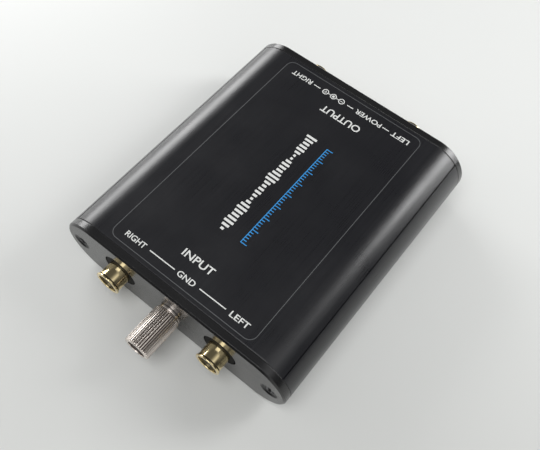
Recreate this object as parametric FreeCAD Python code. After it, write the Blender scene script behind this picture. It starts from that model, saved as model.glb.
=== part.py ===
"""Phono preamp: an extruded case with two end plates, a circuit board and its jacks.

Millimetres. The origin is the centre of the flat underside, +Y runs towards the output end,
+Z is up. Each piece is written to parts/ under its own name.
"""
import FreeCAD
import Part
import math
import os

V = FreeCAD.Vector

# Extruded case, how far a cutting tool runs past its solid, and how near two places count as one
case_width = 90.0
case_height = 25.0
case_length = 96.0
case_wall = 1.8
edge_break = 0.3
beyond = 1.0
same_place = 1e-6
shoulder_groove_angle = 45.0
shoulder_groove_width = 0.5
shoulder_groove_depth = 0.35

# End plates
plate_thickness = 3.0
plate_bevel = 0.6

# Screws of the end plates, and the round ports along the case that take them
screw_inset = 6.0
screw_thread_diameter = 3.0
screw_length = 10.0
screw_head_diameter = 5.6
screw_hole_clearance = 0.2
countersink_diameter = 6.5
port_wall = 1.6
port_web = 2.4
thread_clearance = 0.05
recess_width = 0.8
recess_span = 3.0
recess_depth = 1.1
screw_point = 0.6

# Circuit board and the slots that carry it
board_thickness = 1.6
board_end_gap = 1.5
board_edge_gap = 0.4
board_corner_radius = 1.5
slot_clearance = 0.1
slot_depth = 1.8
slot_rib = 1.0
solder_tail = 1.2
tail_hole_clearance = 0.15

# Phono jacks
jack_spacing = 41.5
jack_pair_shift = -0.8
jack_rise = 1.1
jack_axis_above_board = 7.0
jack_body_width = 13.0
jack_body_depth = 10.0
jack_body_above_axis = 6.5
jack_body_chamfer = 0.6
jack_nose_diameter = 12.0
jack_nose_recess = 0.1
jack_hole_clearance = 0.25
seat_gap = 0.05
barrel_diameter = 8.3
barrel_bore = 7.0
barrel_reach = 5.8
lip_diameter = 9.0
lip_thickness = 0.55
lip_flare = 0.6
lip_round = 0.2
insulator_recess = 0.9
contact_recess = 1.2
contact_bore = 3.2
contact_wall = 0.5
contact_length = 9.0
insulator_throat_gap = 0.35
insulator_behind_barrel = 1.0
tail_thickness = 0.8
tail_width = 2.0
jack_peg_diameter = 1.5
jack_peg_spacing = 8.0

# Power jack
power_axis_above_board = 6.5
power_body_width = 9.0
power_body_depth = 11.0
power_body_above_axis = 4.5
power_nose_diameter = 7.8
power_nose_recess = 0.2
power_hole_clearance = 0.2
power_bore = 6.3
power_bore_depth = 9.6
power_pin_diameter = 2.0
power_pin_short = 0.8
power_pin_round = 0.65
power_tail_width = 2.4
spring_width = 2.8
spring_thickness = 0.4
spring_slot_clearance = 0.2
spring_slot_opening = 0.6
spring_tail_inset = 4.0
spring_crown_place = 3.0
spring_crown_height = 0.75
spring_leaf_length = 4.6

# Ground terminal
ground_thread_diameter = 4.0
ground_thread_pitch = 0.7
ground_engagement = 10.0
ground_head_diameter = 7.6
ground_head_height = 2.4
ground_head_round = 0.8
ground_screw_point = 0.6
star_washer_diameter = 8.0
star_washer_thickness = 0.5
star_washer_teeth = 10
star_washer_notch_width = 0.6
star_washer_notch_depth = 0.9
lug_ring_diameter = 8.6
lug_thickness = 0.7
lug_width = 4.0
lug_foot = 4.0
lug_overlap = 1.2
ground_washer_diameter = 8.4
ground_washer_thickness = 0.9
thumb_nut_diameter = 9.3
thumb_nut_length = 14.5
thumb_nut_collar = 0.5
thumb_nut_chamfer = 0.3
thumb_nut_end_recess = 0.4
thumb_nut_recess_diameter = 6.6
knurl_ridges = 36
knurl_depth = 0.3
collar_overlap = 0.1

# Parts on the board
chip_length = 4.9
chip_width = 3.9
chip_height = 1.5
chip_standoff = 0.15
chip_lead_pitch = 1.27
chip_lead_width = 0.42
chip_lead_thickness = 0.2
chip_lead_reach = 1.05
chip_lead_overlap = 0.3
chip_lead_bend_share = 0.35
chip_lead_foot_share = 0.5
chip_leads_each_side = 4
supply_can_diameter = 8.0
supply_can_height = 10.2
coupling_can_diameter = 5.0
coupling_can_height = 5.4
can_base_height = 1.2
can_base_margin = 0.3
can_base_corner_share = 1 / 6
can_round = 0.5
film_length = 7.2
film_width = 4.4
film_height = 3.6
resistor_length = 2.0
resistor_width = 1.25
resistor_height = 0.55
diode_length = 4.3
diode_width = 2.6
diode_height = 2.2
regulator_length = 6.5
regulator_width = 3.5
regulator_height = 1.6
regulator_tab_width = 3.0
regulator_tab_reach = 1.6
regulator_lead_pitch = 2.3
regulator_lead_width = 0.7
regulator_metal_thickness = 0.3
regulator_metal_overlap = 0.5

# Where the parts stand on the board: rows run along X, edge gaps are from its long edges
chip_row = -10.0
inverter_row = 2.0
regulator_row = -24.0
diode_across = 8.5
diode_row = 31.5
supply_can_spacing = 18.0
supply_can_row = 20.0
coupling_can_edge_gap = 8.7
coupling_can_pitch = 9.0
coupling_can_row = 24.0
film_edge_gap = 7.7
film_pitch = 12.0
film_row = -22.0
resistor_edge_gap = 6.7
resistor_pitch = 5.0
resistor_inner_column = 8.0
resistor_first_row = -2.0
resistor_row_pitch = 7.0
resistor_rows = 3

# Places that follow from the sizes above
side_radius = case_height / 2
side_centre = case_width / 2 - side_radius
mid_height = case_height / 2
plate_face = case_length / 2 + plate_thickness
screw_place = case_width / 2 - screw_inset
jack_height = mid_height + jack_rise
jack_places = {"right": jack_pair_shift - jack_spacing / 2, "left": jack_pair_shift + jack_spacing / 2}
board_top = jack_height - jack_axis_above_board
board_bottom = board_top - board_thickness
power_height = board_top + power_axis_above_board
cavity_radius = side_radius - case_wall
board_half_width = (side_centre - board_edge_gap
                    + math.sqrt(cavity_radius ** 2 - (mid_height - board_bottom) ** 2))
board_half_length = case_length / 2 - board_end_gap
jack_back = -plate_thickness - jack_body_depth
jack_peg_place = (jack_back - plate_thickness) / 2
power_back = -plate_thickness - power_body_depth
coupling_can_columns = [board_half_width - coupling_can_edge_gap - turn * coupling_can_pitch
                        for turn in (0, 1)]
film_columns = [board_half_width - film_edge_gap - turn * film_pitch for turn in (0, 1)]
resistor_columns = [board_half_width - resistor_edge_gap - turn * resistor_pitch for turn in (0, 1)]
resistor_columns += [resistor_inner_column + turn * resistor_pitch for turn in (0, 1)]
FRONT = -1
REAR = 1


def box(low, high):
    """Box from its lowest corner to its highest corner."""
    return Part.makeBox(high[0] - low[0], high[1] - low[1], high[2] - low[2], V(*low))


def rod(radius, start, end, x=0.0, z=0.0):
    """Cylinder along Y between two places on Y."""
    return Part.makeCylinder(radius, end - start, V(x, start, z), V(0, 1, 0))


def stadium(inset, start, end):
    """Prism along Y of the case's section, drawn in by the inset all round."""
    radius = side_radius - inset
    low = mid_height - radius
    high = mid_height + radius
    right_arc = Part.Arc(V(side_centre, start, low), V(side_centre + radius, start, mid_height),
                         V(side_centre, start, high))
    left_arc = Part.Arc(V(-side_centre, start, high), V(-side_centre - radius, start, mid_height),
                        V(-side_centre, start, low))
    floor = Part.LineSegment(V(-side_centre, start, low), V(side_centre, start, low))
    roof = Part.LineSegment(V(side_centre, start, high), V(-side_centre, start, high))
    wire = Part.Wire([floor.toShape(), right_arc.toShape(), roof.toShape(), left_arc.toShape()])
    return Part.Face(wire).extrude(V(0, end - start, 0))


def edges_at(solid, y):
    """Edges of a solid that lie in the plane across Y at the given place."""
    return [edge for edge in solid.Edges
            if abs(edge.BoundBox.YMin - y) < same_place and abs(edge.BoundBox.YMax - y) < same_place]


def turned(outline):
    """Solid of revolution about Y; the outline holds (radius, place along Y) corners."""
    points = [V(radius, y, 0) for radius, y in outline]
    points.append(points[0])
    return Part.Face(Part.makePolygon(points)).revolve(V(0, 0, 0), V(0, 1, 0), 360)


def seat(shape, x, z, side):
    """Carry a piece drawn outward along +Y from the plate's outer face to its place in an end plate."""
    placed = shape.copy()
    if side == FRONT:
        placed.rotate(V(0, 0, 0), V(0, 0, 1), 180)
    placed.translate(V(x, side * plate_face, z))
    return placed


def mitred(path, distance):
    """Corners of a bent line moved sideways by a distance, with mitred bends."""
    directions = []
    for (y0, z0), (y1, z1) in zip(path[:-1], path[1:]):
        length = math.hypot(y1 - y0, z1 - z0)
        directions.append(((y1 - y0) / length, (z1 - z0) / length))
    moved = []
    for index, (y, z) in enumerate(path):
        before = directions[max(index - 1, 0)]
        after = directions[min(index, len(directions) - 1)]
        share = distance / (1 + before[0] * after[0] + before[1] * after[1])
        moved.append((y - share * (before[1] + after[1]), z + share * (before[0] + after[0])))
    return moved


def bent_strip(path, thickness, width):
    """Strip bent from sheet; the path holds (y, z) corners of its middle line, the width runs along X."""
    outline = mitred(path, thickness / 2) + mitred(path, -thickness / 2)[::-1]
    points = [V(-width / 2, y, z) for y, z in outline]
    points.append(points[0])
    return Part.Face(Part.makePolygon(points)).extrude(V(width, 0, 0))


def case_shell():
    """Extruded tube with a screw port in each rounded side and a pair of board slots."""
    half = case_length / 2
    outer = stadium(0, -half, half)
    outer = outer.makeChamfer(edge_break, edges_at(outer, -half) + edges_at(outer, half))
    cavity = stadium(case_wall, -half - beyond, half + beyond)
    port_radius = screw_thread_diameter / 2 + thread_clearance
    rib_reach = board_half_width - slot_depth
    above = board_top + slot_clearance
    below = board_bottom - slot_clearance
    kept = []
    for side in (-1, 1):
        x = side * screw_place
        wall = side * case_width / 2
        kept.append(rod(port_radius + port_wall, -half - beyond, half + beyond, x, mid_height))
        kept.append(box((min(x, wall), -half - beyond, mid_height - port_web / 2),
                        (max(x, wall), half + beyond, mid_height + port_web / 2)))
        reach = side * rib_reach
        for low in (above, below - slot_rib):
            kept.append(box((min(reach, wall), -half - beyond, low),
                            (max(reach, wall), half + beyond, low + slot_rib)))
    shell = outer.cut(cavity.cut(kept))
    cuts = []
    for side in (-1, 1):
        cuts.append(rod(port_radius, -half - beyond, half + beyond, side * screw_place, mid_height))
        groove = box((-shoulder_groove_width / 2, -half - beyond, side_radius - shoulder_groove_depth),
                     (shoulder_groove_width / 2, half + beyond, side_radius + beyond))
        groove.rotate(V(0, 0, 0), V(0, 1, 0), side * (90 - shoulder_groove_angle))
        groove.translate(V(side * side_centre, 0, mid_height))
        cuts.append(groove)
    return shell.cut(cuts)


def screw_hole():
    """Clearance hole with its countersink, drawn outward along +Y from the plate's face."""
    radius = screw_thread_diameter / 2 + screw_hole_clearance
    sink = countersink_diameter / 2
    return turned([(0, -plate_thickness - beyond), (radius, -plate_thickness - beyond),
                   (radius, radius - sink), (sink, 0), (sink, beyond), (0, beyond)])


def end_plate(side, centre_hole_radius, centre_hole_height):
    """Plate of the case's outline, bevelled outside, with jack, centre and screw holes."""
    inner = side * case_length / 2
    face = side * plate_face
    plate = stadium(0, min(inner, face), max(inner, face))
    plate = plate.makeChamfer(plate_bevel, edges_at(plate, face))
    plate = plate.makeChamfer(edge_break, edges_at(plate, inner))
    low = min(inner, face) - beyond
    high = max(inner, face) + beyond
    nose = jack_nose_diameter / 2 + jack_hole_clearance
    cuts = [rod(nose, low, high, x, jack_height) for x in jack_places.values()]
    cuts.append(rod(centre_hole_radius, low, high, 0, centre_hole_height))
    cuts.extend(seat(screw_hole(), x, mid_height, side) for x in (-screw_place, screw_place))
    return plate.cut(cuts)


def plate_screw():
    """Countersunk screw with a cross recess, its head just below the rim of the countersink."""
    head = screw_head_diameter / 2
    thread = screw_thread_diameter / 2
    top = head - countersink_diameter / 2 + seat_gap
    tip = top - screw_length
    body = turned([(0, tip), (thread - screw_point, tip), (thread, tip + screw_point),
                   (thread, top - (head - thread)), (head, top), (0, top)])
    across = box((-recess_span / 2, top - recess_depth, -recess_width / 2),
                 (recess_span / 2, top + beyond, recess_width / 2))
    upright = box((-recess_width / 2, top - recess_depth, -recess_span / 2),
                  (recess_width / 2, top + beyond, recess_span / 2))
    return body.cut([across, upright])


def plate_screws(side):
    """The two screws of one end plate."""
    return Part.makeCompound([seat(plate_screw(), x, mid_height, side)
                              for x in (-screw_place, screw_place)])


def tail(y, top, width, extra=0.0):
    """Solder tail from a height down through the board, for a jack whose axis is at z = 0."""
    bottom = -jack_axis_above_board - board_thickness - solder_tail
    return box((-width / 2 - extra, y - tail_thickness - extra, bottom - extra),
               (width / 2 + extra, y + extra, top + extra))


def jack_body():
    """Moulded block behind the plate, with a round nose in the plate's hole and two locating pegs."""
    block = box((-jack_body_width / 2, jack_back, -jack_axis_above_board),
                (jack_body_width / 2, -plate_thickness, jack_body_above_axis))
    top_edges = [edge for edge in block.Edges if edge.BoundBox.ZMin > jack_body_above_axis - same_place]
    block = block.makeChamfer(jack_body_chamfer, top_edges)
    nose = rod(jack_nose_diameter / 2, -plate_thickness - beyond, -jack_nose_recess)
    pegs = []
    for x in (-jack_peg_spacing / 2, jack_peg_spacing / 2):
        pegs.append(Part.makeCylinder(jack_peg_diameter / 2, board_thickness + beyond,
                                      V(x, jack_peg_place, -jack_axis_above_board - board_thickness)))
    bore = rod(barrel_diameter / 2 + seat_gap, jack_back - beyond, beyond)
    return block.fuse([nose] + pegs).cut(bore)


def jack_barrel():
    """Turned barrel with a hollow flare up to a rounded lip, and a solder tail at its back.

    The flare is an arc that leaves the barrel along its side and ends at the lip's back edge.
    """
    outer = barrel_diameter / 2
    inner = barrel_bore / 2
    lip = lip_diameter / 2
    back = jack_back - tail_thickness
    lip_back = barrel_reach - lip_thickness
    flare_start = lip_back - lip_flare
    rise = lip - outer
    flare_radius = (rise ** 2 + lip_flare ** 2) / (2 * rise)
    half_turn = math.asin(lip_flare / flare_radius) / 2
    flare_middle = V(outer + flare_radius * (1 - math.cos(half_turn)),
                     flare_start + flare_radius * math.sin(half_turn), 0)
    corner = lip_round * (1 - math.sqrt(0.5))
    edges = [
        Part.LineSegment(V(inner, back, 0), V(outer, back, 0)),
        Part.LineSegment(V(outer, back, 0), V(outer, flare_start, 0)),
        Part.Arc(V(outer, flare_start, 0), flare_middle, V(lip, lip_back, 0)),
        Part.LineSegment(V(lip, lip_back, 0), V(lip, barrel_reach - lip_round, 0)),
        Part.Arc(V(lip, barrel_reach - lip_round, 0), V(lip - corner, barrel_reach - corner, 0),
                 V(lip - lip_round, barrel_reach, 0)),
        Part.LineSegment(V(lip - lip_round, barrel_reach, 0), V(inner + lip_round, barrel_reach, 0)),
        Part.LineSegment(V(inner + lip_round, barrel_reach, 0), V(inner, barrel_reach - lip_round, 0)),
        Part.LineSegment(V(inner, barrel_reach - lip_round, 0), V(inner, back, 0)),
    ]
    face = Part.Face(Part.Wire([edge.toShape() for edge in edges]))
    barrel = face.revolve(V(0, 0, 0), V(0, 1, 0), 360)
    return barrel.fuse(tail(jack_back, -(outer + inner) / 2, tail_width))


def insulator_front():
    """Place of the insulator's front face along the jack's axis."""
    return barrel_reach - insulator_recess


def contact_front():
    """Place of the contact's mouth along the jack's axis."""
    return insulator_front() - contact_recess


def insulator_back():
    """Place of the insulator's back face along the jack's axis."""
    return jack_back - tail_thickness - insulator_behind_barrel


def jack_insulator():
    """Insulating plug in the barrel, with a lead-in cone and the seat of the contact tube."""
    radius = barrel_bore / 2 - seat_gap
    throat = contact_bore / 2 + insulator_throat_gap
    tube = contact_bore / 2 + contact_wall + seat_gap
    front = insulator_front()
    return turned([(tube, insulator_back()), (radius, insulator_back()), (radius, front),
                   (throat + lip_round, front), (throat, front - lip_round),
                   (throat, contact_front()), (tube, contact_front())])


def jack_contact():
    """Centre contact tube with a closed back, and a solder tail behind the insulator."""
    inner = contact_bore / 2
    outer = inner + contact_wall
    back = insulator_back() - seat_gap
    front = contact_front() - seat_gap
    floor = front - contact_length
    tube = turned([(0, back - tail_thickness), (outer, back - tail_thickness), (outer, front),
                   (inner, front), (inner, floor), (0, floor)])
    return tube.fuse(tail(back, 0, tail_width))


def power_jack_body():
    """Moulded power jack: block, round nose in the plate, plug bore and a slot for the spring."""
    block = box((-power_body_width / 2, power_back, -power_axis_above_board),
                (power_body_width / 2, -plate_thickness, power_body_above_axis))
    nose = rod(power_nose_diameter / 2, -plate_thickness - beyond, -power_nose_recess)
    bore = rod(power_bore / 2, -power_bore_depth, beyond)
    half_slot = spring_width / 2 + spring_slot_clearance
    slot = box((-half_slot, power_back - beyond, -power_axis_above_board - beyond),
               (half_slot, -plate_thickness - 2 * beyond, -power_bore / 2 + spring_slot_opening))
    pin_seat = rod(power_pin_diameter / 2 + seat_gap, power_back - beyond, beyond)
    return block.fuse(nose).cut([bore, slot, pin_seat])


def power_tail_bottom():
    """Lowest place of a power jack's tail below its axis."""
    return -power_axis_above_board - board_thickness - solder_tail


def power_jack_pin():
    """Centre pin of the power jack, rounded at its tip, with its solder tail behind the block."""
    radius = power_pin_diameter / 2
    back = power_back - seat_gap
    tip = -power_nose_recess - power_pin_short
    pin = rod(radius, back - tail_thickness, tip)
    pin = pin.makeFillet(power_pin_round, edges_at(pin, tip))
    strap = box((-power_tail_width / 2, back - tail_thickness, power_tail_bottom()),
                (power_tail_width / 2, back, radius))
    return pin.fuse(strap)


def spring_tail_place():
    """Place along the axis of the sleeve spring's tail."""
    return power_back + spring_tail_inset


def power_jack_spring():
    """Leaf under the plug bore that bears on the plug's sleeve, with its tail through the board."""
    under = -power_bore / 2 - spring_thickness
    start = spring_tail_place()
    path = [(start, power_tail_bottom()), (start, under),
            (start + spring_crown_place, under + spring_crown_height), (start + spring_leaf_length, under)]
    return bent_strip(path, spring_thickness, spring_width)


def ground_screw():
    """Round-headed screw from inside, its thread standing out of the front plate."""
    thread = ground_thread_diameter / 2
    head = ground_head_diameter / 2
    seat_face = -plate_thickness - lug_thickness - star_washer_thickness
    back = seat_face - ground_head_height
    tip = ground_washer_thickness + ground_engagement
    return turned([(0, back), (head - ground_head_round, back), (head, back + ground_head_round),
                   (head, seat_face), (thread, seat_face), (thread, tip - ground_screw_point),
                   (thread - ground_screw_point, tip), (0, tip)])


def ring(outer, start, end):
    """Flat ring round the ground screw's thread, between two places along its axis."""
    inner = ground_thread_diameter / 2 + thread_clearance
    return turned([(inner, start), (outer, start), (outer, end), (inner, end)])


def ground_star_washer():
    """Toothed washer under the screw's head."""
    back = -plate_thickness - lug_thickness - star_washer_thickness
    plain = ring(star_washer_diameter / 2, back, back + star_washer_thickness)
    notches = []
    half = star_washer_notch_width / 2
    for turn in range(star_washer_teeth):
        notch = box((star_washer_diameter / 2 - star_washer_notch_depth, back - beyond, -half),
                    (star_washer_diameter / 2 + beyond, back + star_washer_thickness + beyond, half))
        notch.rotate(V(0, 0, 0), V(0, 1, 0), 360 / star_washer_teeth * turn)
        notches.append(notch)
    return plain.cut(notches)


def ground_lug():
    """Solder lug: a ring on the screw and a strap down to a foot on the board."""
    back = -plate_thickness - lug_thickness
    middle = -plate_thickness - lug_thickness / 2
    foot_height = board_top - mid_height + lug_thickness / 2
    strap = bent_strip([(middle, -ground_thread_diameter / 2 - lug_overlap), (middle, foot_height),
                        (middle - lug_foot, foot_height)], lug_thickness, lug_width)
    hole = rod(ground_thread_diameter / 2 + thread_clearance, back - beyond, -plate_thickness + beyond)
    return ring(lug_ring_diameter / 2, back, -plate_thickness).fuse(strap).cut(hole)


def ground_washer():
    """Washer that rides against the thumb nut, outside the front plate."""
    return ring(ground_washer_diameter / 2, 0, ground_washer_thickness)


def ground_thumb_nut():
    """Long knurled nut: straight ridges between a plain collar and a chamfered, recessed end."""
    top = thumb_nut_diameter / 2
    root = top - knurl_depth
    start = ground_washer_thickness
    end = start + thumb_nut_length
    bore = ground_thread_diameter / 2 + thread_clearance
    depth = start + ground_engagement + ground_thread_pitch
    corners = []
    for ridge in range(knurl_ridges):
        for radius, share in ((root, 0.0), (top, 0.5)):
            angle = 2 * math.pi * (ridge + share) / knurl_ridges
            corners.append(V(radius * math.cos(angle), start + thumb_nut_collar, radius * math.sin(angle)))
    corners.append(corners[0])
    ridges = Part.Face(Part.makePolygon(corners)).extrude(V(0, thumb_nut_length - thumb_nut_collar, 0))
    chamfer = thumb_nut_chamfer
    envelope = turned([(0, start), (top + beyond, start), (top + beyond, end - chamfer - beyond),
                       (top - chamfer, end), (0, end)])
    collar_end = start + thumb_nut_collar + collar_overlap
    collar = turned([(0, start), (root - chamfer / 2, start), (root, start + chamfer / 2),
                     (root, collar_end), (0, collar_end)])
    hollow = rod(bore, start - beyond, depth)
    dish = rod(thumb_nut_recess_diameter / 2, end - thumb_nut_end_recess, end + beyond)
    return ridges.common(envelope).fuse(collar).cut([hollow, dish])


def circuit_board():
    """Board in the case's slots, with holes for the jacks' tails and pegs."""
    board = box((-board_half_width, -board_half_length, board_bottom),
                (board_half_width, board_half_length, board_top))
    upright = [edge for edge in board.Edges if edge.BoundBox.ZLength > board_thickness / 2]
    board = board.makeFillet(board_corner_radius, upright)
    gap = tail_hole_clearance
    holes = []
    for side in (FRONT, REAR):
        for x in jack_places.values():
            for y in (jack_back, insulator_back() - seat_gap):
                holes.append(seat(tail(y, -jack_axis_above_board + beyond, tail_width, gap),
                                  x, jack_height, side))
            for peg in (-jack_peg_spacing / 2, jack_peg_spacing / 2):
                hole = Part.makeCylinder(jack_peg_diameter / 2 + gap, board_thickness + 2 * beyond,
                                         V(peg, jack_peg_place,
                                           -jack_axis_above_board - board_thickness - beyond))
                holes.append(seat(hole, x, jack_height, side))
    back = power_back - seat_gap
    pin_hole = box((-power_tail_width / 2 - gap, back - tail_thickness - gap, power_tail_bottom()),
                   (power_tail_width / 2 + gap, back + gap, -power_axis_above_board + beyond))
    start = spring_tail_place()
    half = spring_thickness / 2
    spring_hole = box((-spring_width / 2 - gap, start - half - gap, power_tail_bottom()),
                      (spring_width / 2 + gap, start + half + gap, -power_axis_above_board + beyond))
    holes.append(seat(pin_hole, 0, power_height, REAR))
    holes.append(seat(spring_hole, 0, power_height, REAR))
    return board.cut(holes)


def chip():
    """Small eight-legged chip standing on the board at z = 0."""
    body = box((-chip_width / 2, -chip_length / 2, chip_standoff),
               (chip_width / 2, chip_length / 2, chip_standoff + chip_height))
    shoulder = chip_standoff + chip_height / 2
    half = chip_lead_thickness / 2
    legs = []
    for side in (-1, 1):
        edge = side * chip_width / 2
        path = [(edge - side * chip_lead_overlap, shoulder),
                (edge + side * chip_lead_reach * chip_lead_bend_share, shoulder),
                (edge + side * chip_lead_reach * chip_lead_foot_share, half),
                (edge + side * chip_lead_reach, half)]
        for index in range(chip_leads_each_side):
            leg = bent_strip(path, chip_lead_thickness, chip_lead_width)
            leg.rotate(V(0, 0, 0), V(0, 0, 1), -90)
            leg.translate(V(0, (index - (chip_leads_each_side - 1) / 2) * chip_lead_pitch, 0))
            legs.append(leg)
    return body.fuse(legs)


def on_board(shape, place):
    """Set a part drawn at z = 0 on the board's top at a place on the board."""
    placed = shape.copy()
    placed.translate(V(place[0], place[1], board_top))
    return placed


def both_sides(shape, columns, row):
    """Copies of a part in one row of the board, at each column to the right and to the left."""
    return [on_board(shape, (side * column, row)) for column in columns for side in (-1, 1)]


def can(diameter, height):
    """Capacitor can with a rounded top, standing in its base."""
    radius = diameter / 2
    profile = turned([(0, can_base_height), (radius, can_base_height), (radius, height - can_round),
                      (radius - can_round, height), (0, height)])
    profile.rotate(V(0, 0, 0), V(1, 0, 0), 90)
    return profile


def can_base(diameter):
    """Square capacitor base with two cut corners that mark its polarity."""
    half = diameter / 2 + can_base_margin
    base = box((-half, -half, 0), (half, half, can_base_height))
    marked = [edge for edge in base.Edges if edge.BoundBox.ZLength > can_base_height / 2
              and edge.BoundBox.YMin > 0]
    return base.makeChamfer(diameter * can_base_corner_share, marked)


def where_cans_stand(supply, coupling):
    """Copies of one part at each supply capacitor and of another at each coupling capacitor."""
    return Part.makeCompound(both_sides(supply, [supply_can_spacing / 2], supply_can_row)
                             + both_sides(coupling, coupling_can_columns, coupling_can_row))


def block_part(length, width, height):
    """Plain rectangular body of a part that lies along Y on the board."""
    return box((-width / 2, -length / 2, 0), (width / 2, length / 2, height))


def film_capacitors():
    """Film capacitors of the equaliser network."""
    return Part.makeCompound(both_sides(block_part(film_length, film_width, film_height),
                                        film_columns, film_row))


def chip_resistors():
    """Chip resistors in columns beside the chips."""
    resistor = block_part(resistor_length, resistor_width, resistor_height)
    solids = []
    for turn in range(resistor_rows):
        solids += both_sides(resistor, resistor_columns, resistor_first_row + turn * resistor_row_pitch)
    return Part.makeCompound(solids)


def voltage_regulator():
    """Regulator with a wide tab on one side and three legs on the other."""
    body = box((-regulator_length / 2, -regulator_width / 2, 0),
               (regulator_length / 2, regulator_width / 2, regulator_height))
    inner = regulator_width / 2 - regulator_metal_overlap
    outer = regulator_width / 2 + regulator_tab_reach
    metal = [box((-regulator_tab_width / 2, inner, 0),
                 (regulator_tab_width / 2, outer, regulator_metal_thickness))]
    for index in (-1, 0, 1):
        x = index * regulator_lead_pitch
        metal.append(box((x - regulator_lead_width / 2, -outer, 0),
                         (x + regulator_lead_width / 2, -inner, regulator_metal_thickness)))
    return on_board(body.fuse(metal), (0, regulator_row))


def save(name, shape):
    """Write one piece and print what it holds."""
    shape.exportStep("parts/" + name + ".step")
    print(name, "solids", len(shape.Solids), "volume", round(shape.Volume, 2), "valid", shape.isValid())


def main():
    """Make every piece of the preamp."""
    os.makedirs("parts", exist_ok=True)
    ground_hole = ground_thread_diameter / 2 + thread_clearance
    power_hole = power_nose_diameter / 2 + power_hole_clearance
    save("case_shell", case_shell())
    save("front_plate", end_plate(FRONT, ground_hole, mid_height))
    save("rear_plate", end_plate(REAR, power_hole, power_height))
    save("front_plate_screws", plate_screws(FRONT))
    save("rear_plate_screws", plate_screws(REAR))
    save("circuit_board", circuit_board())
    for end, side in (("input", FRONT), ("output", REAR)):
        for channel, x in jack_places.items():
            name = end + "_" + channel + "_jack"
            save(name + "_body", seat(jack_body(), x, jack_height, side))
            save(name + "_barrel", seat(jack_barrel(), x, jack_height, side))
            save(name + "_insulator", seat(jack_insulator(), x, jack_height, side))
            save(name + "_contact", seat(jack_contact(), x, jack_height, side))
    save("power_jack_body", seat(power_jack_body(), 0, power_height, REAR))
    save("power_jack_pin", seat(power_jack_pin(), 0, power_height, REAR))
    save("power_jack_spring", seat(power_jack_spring(), 0, power_height, REAR))
    for name, shape in (("ground_screw", ground_screw()), ("ground_star_washer", ground_star_washer()),
                        ("ground_lug", ground_lug()), ("ground_washer", ground_washer()),
                        ("ground_thumb_nut", ground_thumb_nut())):
        save(name, seat(shape, 0, mid_height, FRONT))
    save("right_amplifier_chip", on_board(chip(), (jack_places["right"], chip_row)))
    save("left_amplifier_chip", on_board(chip(), (jack_places["left"], chip_row)))
    save("voltage_inverter_chip", on_board(chip(), (0, inverter_row)))
    save("voltage_regulator", voltage_regulator())
    save("supply_diode", on_board(block_part(diode_length, diode_width, diode_height),
                                  (diode_across, diode_row)))
    save("capacitor_cans", where_cans_stand(can(supply_can_diameter, supply_can_height),
                                            can(coupling_can_diameter, coupling_can_height)))
    save("capacitor_bases", where_cans_stand(can_base(supply_can_diameter), can_base(coupling_can_diameter)))
    save("film_capacitors", film_capacitors())
    save("chip_resistors", chip_resistors())


main()
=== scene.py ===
# %% [markdown]
# # Dressing a phono preamp
# The object is a small amplifier for a record deck: a flat black extruded tube with round sides,
# an end plate screwed to each end, gold phono jacks and a knurled ground nut. Its construction is
# already made as solids. This lesson puts surfaces, finishes, printing and light around them.
# The solids are loaded first, because every place below is read from them.

# %% Load the solids
import math

import bmesh
import bpy
import numpy as np
from mathutils import Matrix, Vector
from mathutils.geometry import delaunay_2d_cdt


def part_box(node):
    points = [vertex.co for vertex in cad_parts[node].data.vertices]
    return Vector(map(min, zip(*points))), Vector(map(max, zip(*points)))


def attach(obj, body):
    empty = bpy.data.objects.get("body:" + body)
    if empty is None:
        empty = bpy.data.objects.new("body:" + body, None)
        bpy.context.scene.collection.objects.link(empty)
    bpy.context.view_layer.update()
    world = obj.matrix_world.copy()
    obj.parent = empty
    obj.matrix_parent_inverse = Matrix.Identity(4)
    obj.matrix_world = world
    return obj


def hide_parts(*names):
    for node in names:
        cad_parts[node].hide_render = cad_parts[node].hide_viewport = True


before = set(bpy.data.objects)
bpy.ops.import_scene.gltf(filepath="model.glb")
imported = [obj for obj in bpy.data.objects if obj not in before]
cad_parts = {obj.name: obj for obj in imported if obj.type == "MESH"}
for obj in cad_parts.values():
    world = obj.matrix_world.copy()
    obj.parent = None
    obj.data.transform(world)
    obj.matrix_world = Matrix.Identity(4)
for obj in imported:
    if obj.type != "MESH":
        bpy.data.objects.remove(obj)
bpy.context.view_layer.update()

MM = 0.001


# %% [markdown]
# ## Places read from the solids
# Everything here is thought of in millimetres, as a maker's drawing is. A jack is drawn once, with
# its axis along +Y and the plate's outer face at zero, and is then seated in the front or the rear
# plate. The front one is turned half round and never mirrored, so that a thread stays right-handed.

# %% Measure the solids
FRONT, REAR = -1, 1
lip_radius = 4.5
head_radius = 2.8
power_pin_radius = 1.0


def measured(node):
    """Lowest and highest corner of a solid, in millimetres."""
    low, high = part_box(node)
    return np.array(low) / MM, np.array(high) / MM


half_width, half_length, case_top = measured("case_shell")[1]
side_radius = case_top / 2
side_centre = half_width - side_radius
mid_height = side_radius
plate_face = measured("rear_plate")[1][1]
plate_back = half_length - plate_face
jack_height = measured("input_right_jack_barrel")[1][2] - lip_radius
jack_places = {}
for channel in ("right", "left"):
    low, high = measured(f"input_{channel}_jack_body")
    jack_places[channel] = (low[0] + high[0]) / 2
barrel_reach = measured("output_right_jack_barrel")[1][1] - plate_face
board_bottom, board_top = (corner[2] for corner in measured("circuit_board"))
screw_places = (measured("front_plate_screws")[1][0] - head_radius) * np.array([-1, 1])
power_low, power_high = measured("power_jack_body")
power_height = measured("power_jack_pin")[1][2] - power_pin_radius
washer_face = -measured("ground_washer")[0][1] - plate_face
nut_end = -measured("ground_thumb_nut")[0][1] - plate_face
print("case", half_width * 2, case_top, half_length * 2, "jacks", jack_places, jack_height, barrel_reach)
print("power jack", power_height, "washer", washer_face, "nut", nut_end, "screws", screw_places)


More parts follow.
